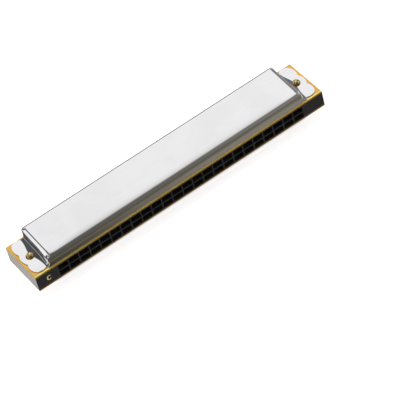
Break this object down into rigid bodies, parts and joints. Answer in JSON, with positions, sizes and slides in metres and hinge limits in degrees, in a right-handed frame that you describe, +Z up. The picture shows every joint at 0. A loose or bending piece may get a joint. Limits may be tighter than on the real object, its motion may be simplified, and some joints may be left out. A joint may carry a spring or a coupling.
{
  "type": "harmonica",
  "caption": "Long tremolo harmonica: black comb between brass reed plates, with chromed covers nailed on at their scalloped end ears and open along the back.",
  "frame": {"origin": "centre of the comb, which is the centre of the whole instrument's length, depth and height", "axes": "+X along the length from the low notes to the high notes, the mouth side faces -Y, +Z up through the reed plates and covers"},
  "size_m": [0.178, 0.028, 0.023],
  "materials": {
    "comb_plastic": "satin black moulded plastic",
    "reed_plate_brass": "rolled brass, front edges polished round",
    "cover_chrome": "mirror chrome on pressed sheet",
    "nail_brass": "polished brass dome",
    "reed_brass": "filed brass"
  },
  "bodies": {
    "body": {"comb": "comb_plastic", "upper_reed_plate": "reed_plate_brass", "lower_reed_plate": "reed_plate_brass", "upper_cover": "cover_chrome", "lower_cover": "cover_chrome", "upper_left_nail": "nail_brass", "upper_right_nail": "nail_brass", "lower_left_nail": "nail_brass", "lower_right_nail": "nail_brass"},
    "upper_reed_01": {"upper_reed_01": "reed_brass"},
    "upper_reed_02": {"upper_reed_02": "reed_brass"},
    "upper_reed_03": {"upper_reed_03": "reed_brass"},
    "upper_reed_04": {"upper_reed_04": "reed_brass"},
    "upper_reed_05": {"upper_reed_05": "reed_brass"},
    "upper_reed_06": {"upper_reed_06": "reed_brass"},
    "upper_reed_07": {"upper_reed_07": "reed_brass"},
    "upper_reed_08": {"upper_reed_08": "reed_brass"},
    "upper_reed_09": {"upper_reed_09": "reed_brass"},
    "upper_reed_10": {"upper_reed_10": "reed_brass"},
    "upper_reed_11": {"upper_reed_11": "reed_brass"},
    "upper_reed_12": {"upper_reed_12": "reed_brass"},
    "upper_reed_13": {"upper_reed_13": "reed_brass"},
    "upper_reed_14": {"upper_reed_14": "reed_brass"},
    "upper_reed_15": {"upper_reed_15": "reed_brass"},
    "upper_reed_16": {"upper_reed_16": "reed_brass"},
    "upper_reed_17": {"upper_reed_17": "reed_brass"},
    "upper_reed_18": {"upper_reed_18": "reed_brass"},
    "upper_reed_19": {"upper_reed_19": "reed_brass"},
    "upper_reed_20": {"upper_reed_20": "reed_brass"},
    "upper_reed_21": {"upper_reed_21": "reed_brass"},
    "upper_reed_22": {"upper_reed_22": "reed_brass"},
    "upper_reed_23": {"upper_reed_23": "reed_brass"},
    "upper_reed_24": {"upper_reed_24": "reed_brass"},
    "lower_reed_01": {"lower_reed_01": "reed_brass"},
    "lower_reed_02": {"lower_reed_02": "reed_brass"},
    "lower_reed_03": {"lower_reed_03": "reed_brass"},
    "lower_reed_04": {"lower_reed_04": "reed_brass"},
    "lower_reed_05": {"lower_reed_05": "reed_brass"},
    "lower_reed_06": {"lower_reed_06": "reed_brass"},
    "lower_reed_07": {"lower_reed_07": "reed_brass"},
    "lower_reed_08": {"lower_reed_08": "reed_brass"},
    "lower_reed_09": {"lower_reed_09": "reed_brass"},
    "lower_reed_10": {"lower_reed_10": "reed_brass"},
    "lower_reed_11": {"lower_reed_11": "reed_brass"},
    "lower_reed_12": {"lower_reed_12": "reed_brass"},
    "lower_reed_13": {"lower_reed_13": "reed_brass"},
    "lower_reed_14": {"lower_reed_14": "reed_brass"},
    "lower_reed_15": {"lower_reed_15": "reed_brass"},
    "lower_reed_16": {"lower_reed_16": "reed_brass"},
    "lower_reed_17": {"lower_reed_17": "reed_brass"},
    "lower_reed_18": {"lower_reed_18": "reed_brass"},
    "lower_reed_19": {"lower_reed_19": "reed_brass"},
    "lower_reed_20": {"lower_reed_20": "reed_brass"},
    "lower_reed_21": {"lower_reed_21": "reed_brass"},
    "lower_reed_22": {"lower_reed_22": "reed_brass"},
    "lower_reed_23": {"lower_reed_23": "reed_brass"},
    "lower_reed_24": {"lower_reed_24": "reed_brass"}
  },
  "joints": [
    {"name": "upper_reed_01_swing", "type": "hinge", "parent": "body", "child": "upper_reed_01", "pos_m": [-0.07303, 0.0099, 0.00375], "axis": [1, 0, 0], "range_deg": [-4, 4], "stiffness_Nm_per_rad": 0.0023},
    {"name": "upper_reed_02_swing", "type": "hinge", "parent": "body", "child": "upper_reed_02", "pos_m": [-0.06667, -0.00955, 0.00525], "axis": [1, 0, 0], "range_deg": [-4, 4], "stiffness_Nm_per_rad": 0.0022},
    {"name": "upper_reed_03_swing", "type": "hinge", "parent": "body", "child": "upper_reed_03", "pos_m": [-0.06032, 0.0099, 0.00375], "axis": [1, 0, 0], "range_deg": [-4, 4], "stiffness_Nm_per_rad": 0.0021},
    {"name": "upper_reed_04_swing", "type": "hinge", "parent": "body", "child": "upper_reed_04", "pos_m": [-0.05398, -0.00955, 0.00525], "axis": [1, 0, 0], "range_deg": [-4, 4], "stiffness_Nm_per_rad": 0.002},
    {"name": "upper_reed_05_swing", "type": "hinge", "parent": "body", "child": "upper_reed_05", "pos_m": [-0.04763, 0.0099, 0.00375], "axis": [1, 0, 0], "range_deg": [-4, 4], "stiffness_Nm_per_rad": 0.0019},
    {"name": "upper_reed_06_swing", "type": "hinge", "parent": "body", "child": "upper_reed_06", "pos_m": [-0.04127, -0.00955, 0.00525], "axis": [1, 0, 0], "range_deg": [-4, 4], "stiffness_Nm_per_rad": 0.0018},
    {"name": "upper_reed_07_swing", "type": "hinge", "parent": "body", "child": "upper_reed_07", "pos_m": [-0.03492, 0.0099, 0.00375], "axis": [1, 0, 0], "range_deg": [-4, 4], "stiffness_Nm_per_rad": 0.0017},
    {"name": "upper_reed_08_swing", "type": "hinge", "parent": "body", "child": "upper_reed_08", "pos_m": [-0.02857, -0.00955, 0.00525], "axis": [1, 0, 0], "range_deg": [-4, 4], "stiffness_Nm_per_rad": 0.0016},
    {"name": "upper_reed_09_swing", "type": "hinge", "parent": "body", "child": "upper_reed_09", "pos_m": [-0.02223, 0.0099, 0.00375], "axis": [1, 0, 0], "range_deg": [-4, 4], "stiffness_Nm_per_rad": 0.0015},
    {"name": "upper_reed_10_swing", "type": "hinge", "parent": "body", "child": "upper_reed_10", "pos_m": [-0.01588, -0.00955, 0.00525], "axis": [1, 0, 0], "range_deg": [-4, 4], "stiffness_Nm_per_rad": 0.0014},
    {"name": "upper_reed_11_swing", "type": "hinge", "parent": "body", "child": "upper_reed_11", "pos_m": [-0.00953, 0.0099, 0.00375], "axis": [1, 0, 0], "range_deg": [-4, 4], "stiffness_Nm_per_rad": 0.0014},
    {"name": "upper_reed_12_swing", "type": "hinge", "parent": "body", "child": "upper_reed_12", "pos_m": [-0.00317, -0.00955, 0.00525], "axis": [1, 0, 0], "range_deg": [-4, 4], "stiffness_Nm_per_rad": 0.0013},
    {"name": "upper_reed_13_swing", "type": "hinge", "parent": "body", "child": "upper_reed_13", "pos_m": [0.00317, 0.0099, 0.00375], "axis": [1, 0, 0], "range_deg": [-4, 4], "stiffness_Nm_per_rad": 0.0012},
    {"name": "upper_reed_14_swing", "type": "hinge", "parent": "body", "child": "upper_reed_14", "pos_m": [0.00953, -0.00955, 0.00525], "axis": [1, 0, 0], "range_deg": [-4, 4], "stiffness_Nm_per_rad": 0.0011},
    {"name": "upper_reed_15_swing", "type": "hinge", "parent": "body", "child": "upper_reed_15", "pos_m": [0.01588, 0.0099, 0.00375], "axis": [1, 0, 0], "range_deg": [-4, 4], "stiffness_Nm_per_rad": 0.0011},
    {"name": "upper_reed_16_swing", "type": "hinge", "parent": "body", "child": "upper_reed_16", "pos_m": [0.02223, -0.00955, 0.00525], "axis": [1, 0, 0], "range_deg": [-4, 4], "stiffness_Nm_per_rad": 0.001},
    {"name": "upper_reed_17_swing", "type": "hinge", "parent": "body", "child": "upper_reed_17", "pos_m": [0.02857, 0.0099, 0.00375], "axis": [1, 0, 0], "range_deg": [-4, 4], "stiffness_Nm_per_rad": 0.00093},
    {"name": "upper_reed_18_swing", "type": "hinge", "parent": "body", "child": "upper_reed_18", "pos_m": [0.03492, -0.00955, 0.00525], "axis": [1, 0, 0], "range_deg": [-4, 4], "stiffness_Nm_per_rad": 0.00087},
    {"name": "upper_reed_19_swing", "type": "hinge", "parent": "body", "child": "upper_reed_19", "pos_m": [0.04127, 0.0099, 0.00375], "axis": [1, 0, 0], "range_deg": [-4, 4], "stiffness_Nm_per_rad": 0.00081},
    {"name": "upper_reed_20_swing", "type": "hinge", "parent": "body", "child": "upper_reed_20", "pos_m": [0.04763, -0.00955, 0.00525], "axis": [1, 0, 0], "range_deg": [-4, 4], "stiffness_Nm_per_rad": 0.00075},
    {"name": "upper_reed_21_swing", "type": "hinge", "parent": "body", "child": "upper_reed_21", "pos_m": [0.05398, 0.0099, 0.00375], "axis": [1, 0, 0], "range_deg": [-4, 4], "stiffness_Nm_per_rad": 0.00069},
    {"name": "upper_reed_22_swing", "type": "hinge", "parent": "body", "child": "upper_reed_22", "pos_m": [0.06032, -0.00955, 0.00525], "axis": [1, 0, 0], "range_deg": [-4, 4], "stiffness_Nm_per_rad": 0.00064},
    {"name": "upper_reed_23_swing", "type": "hinge", "parent": "body", "child": "upper_reed_23", "pos_m": [0.06667, 0.0099, 0.00375], "axis": [1, 0, 0], "range_deg": [-4, 4], "stiffness_Nm_per_rad": 0.00058},
    {"name": "upper_reed_24_swing", "type": "hinge", "parent": "body", "child": "upper_reed_24", "pos_m": [0.07303, -0.00955, 0.00525], "axis": [1, 0, 0], "range_deg": [-4, 4], "stiffness_Nm_per_rad": 0.00053},
    {"name": "lower_reed_01_swing", "type": "hinge", "parent": "body", "child": "lower_reed_01", "pos_m": [-0.07303, 0.0099, -0.00375], "axis": [1, 0, 0], "range_deg": [-4, 4], "stiffness_Nm_per_rad": 0.0023},
    {"name": "lower_reed_02_swing", "type": "hinge", "parent": "body", "child": "lower_reed_02", "pos_m": [-0.06667, -0.00955, -0.00525], "axis": [1, 0, 0], "range_deg": [-4, 4], "stiffness_Nm_per_rad": 0.0022},
    {"name": "lower_reed_03_swing", "type": "hinge", "parent": "body", "child": "lower_reed_03", "pos_m": [-0.06032, 0.0099, -0.00375], "axis": [1, 0, 0], "range_deg": [-4, 4], "stiffness_Nm_per_rad": 0.0021},
    {"name": "lower_reed_04_swing", "type": "hinge", "parent": "body", "child": "lower_reed_04", "pos_m": [-0.05398, -0.00955, -0.00525], "axis": [1, 0, 0], "range_deg": [-4, 4], "stiffness_Nm_per_rad": 0.002},
    {"name": "lower_reed_05_swing", "type": "hinge", "parent": "body", "child": "lower_reed_05", "pos_m": [-0.04763, 0.0099, -0.00375], "axis": [1, 0, 0], "range_deg": [-4, 4], "stiffness_Nm_per_rad": 0.0019},
    {"name": "lower_reed_06_swing", "type": "hinge", "parent": "body", "child": "lower_reed_06", "pos_m": [-0.04127, -0.00955, -0.00525], "axis": [1, 0, 0], "range_deg": [-4, 4], "stiffness_Nm_per_rad": 0.0018},
    {"name": "lower_reed_07_swing", "type": "hinge", "parent": "body", "child": "lower_reed_07", "pos_m": [-0.03492, 0.0099, -0.00375], "axis": [1, 0, 0], "range_deg": [-4, 4], "stiffness_Nm_per_rad": 0.0017},
    {"name": "lower_reed_08_swing", "type": "hinge", "parent": "body", "child": "lower_reed_08", "pos_m": [-0.02857, -0.00955, -0.00525], "axis": [1, 0, 0], "range_deg": [-4, 4], "stiffness_Nm_per_rad": 0.0016},
    {"name": "lower_reed_09_swing", "type": "hinge", "parent": "body", "child": "lower_reed_09", "pos_m": [-0.02223, 0.0099, -0.00375], "axis": [1, 0, 0], "range_deg": [-4, 4], "stiffness_Nm_per_rad": 0.0015},
    {"name": "lower_reed_10_swing", "type": "hinge", "parent": "body", "child": "lower_reed_10", "pos_m": [-0.01588, -0.00955, -0.00525], "axis": [1, 0, 0], "range_deg": [-4, 4], "stiffness_Nm_per_rad": 0.0014},
    {"name": "lower_reed_11_swing", "type": "hinge", "parent": "body", "child": "lower_reed_11", "pos_m": [-0.00953, 0.0099, -0.00375], "axis": [1, 0, 0], "range_deg": [-4, 4], "stiffness_Nm_per_rad": 0.0014},
    {"name": "lower_reed_12_swing", "type": "hinge", "parent": "body", "child": "lower_reed_12", "pos_m": [-0.00317, -0.00955, -0.00525], "axis": [1, 0, 0], "range_deg": [-4, 4], "stiffness_Nm_per_rad": 0.0013},
    {"name": "lower_reed_13_swing", "type": "hinge", "parent": "body", "child": "lower_reed_13", "pos_m": [0.00317, 0.0099, -0.00375], "axis": [1, 0, 0], "range_deg": [-4, 4], "stiffness_Nm_per_rad": 0.0012},
    {"name": "lower_reed_14_swing", "type": "hinge", "parent": "body", "child": "lower_reed_14", "pos_m": [0.00953, -0.00955, -0.00525], "axis": [1, 0, 0], "range_deg": [-4, 4], "stiffness_Nm_per_rad": 0.0011},
    {"name": "lower_reed_15_swing", "type": "hinge", "parent": "body", "child": "lower_reed_15", "pos_m": [0.01588, 0.0099, -0.00375], "axis": [1, 0, 0], "range_deg": [-4, 4], "stiffness_Nm_per_rad": 0.0011},
    {"name": "lower_reed_16_swing", "type": "hinge", "parent": "body", "child": "lower_reed_16", "pos_m": [0.02223, -0.00955, -0.00525], "axis": [1, 0, 0], "range_deg": [-4, 4], "stiffness_Nm_per_rad": 0.001},
    {"name": "lower_reed_17_swing", "type": "hinge", "parent": "body", "child": "lower_reed_17", "pos_m": [0.02857, 0.0099, -0.00375], "axis": [1, 0, 0], "range_deg": [-4, 4], "stiffness_Nm_per_rad": 0.00093},
    {"name": "lower_reed_18_swing", "type": "hinge", "parent": "body", "child": "lower_reed_18", "pos_m": [0.03492, -0.00955, -0.00525], "axis": [1, 0, 0], "range_deg": [-4, 4], "stiffness_Nm_per_rad": 0.00087},
    {"name": "lower_reed_19_swing", "type": "hinge", "parent": "body", "child": "lower_reed_19", "pos_m": [0.04127, 0.0099, -0.00375], "axis": [1, 0, 0], "range_deg": [-4, 4], "stiffness_Nm_per_rad": 0.00081},
    {"name": "lower_reed_20_swing", "type": "hinge", "parent": "body", "child": "lower_reed_20", "pos_m": [0.04763, -0.00955, -0.00525], "axis": [1, 0, 0], "range_deg": [-4, 4], "stiffness_Nm_per_rad": 0.00075},
    {"name": "lower_reed_21_swing", "type": "hinge", "parent": "body", "child": "lower_reed_21", "pos_m": [0.05398, 0.0099, -0.00375], "axis": [1, 0, 0], "range_deg": [-4, 4], "stiffness_Nm_per_rad": 0.00069},
    {"name": "lower_reed_22_swing", "type": "hinge", "parent": "body", "child": "lower_reed_22", "pos_m": [0.06032, -0.00955, -0.00525], "axis": [1, 0, 0], "range_deg": [-4, 4], "stiffness_Nm_per_rad": 0.00064},
    {"name": "lower_reed_23_swing", "type": "hinge", "parent": "body", "child": "lower_reed_23", "pos_m": [0.06667, 0.0099, -0.00375], "axis": [1, 0, 0], "range_deg": [-4, 4], "stiffness_Nm_per_rad": 0.00058},
    {"name": "lower_reed_24_swing", "type": "hinge", "parent": "body", "child": "lower_reed_24", "pos_m": [0.07303, -0.00955, -0.00525], "axis": [1, 0, 0], "range_deg": [-4, 4], "stiffness_Nm_per_rad": 0.00053}
  ]
}
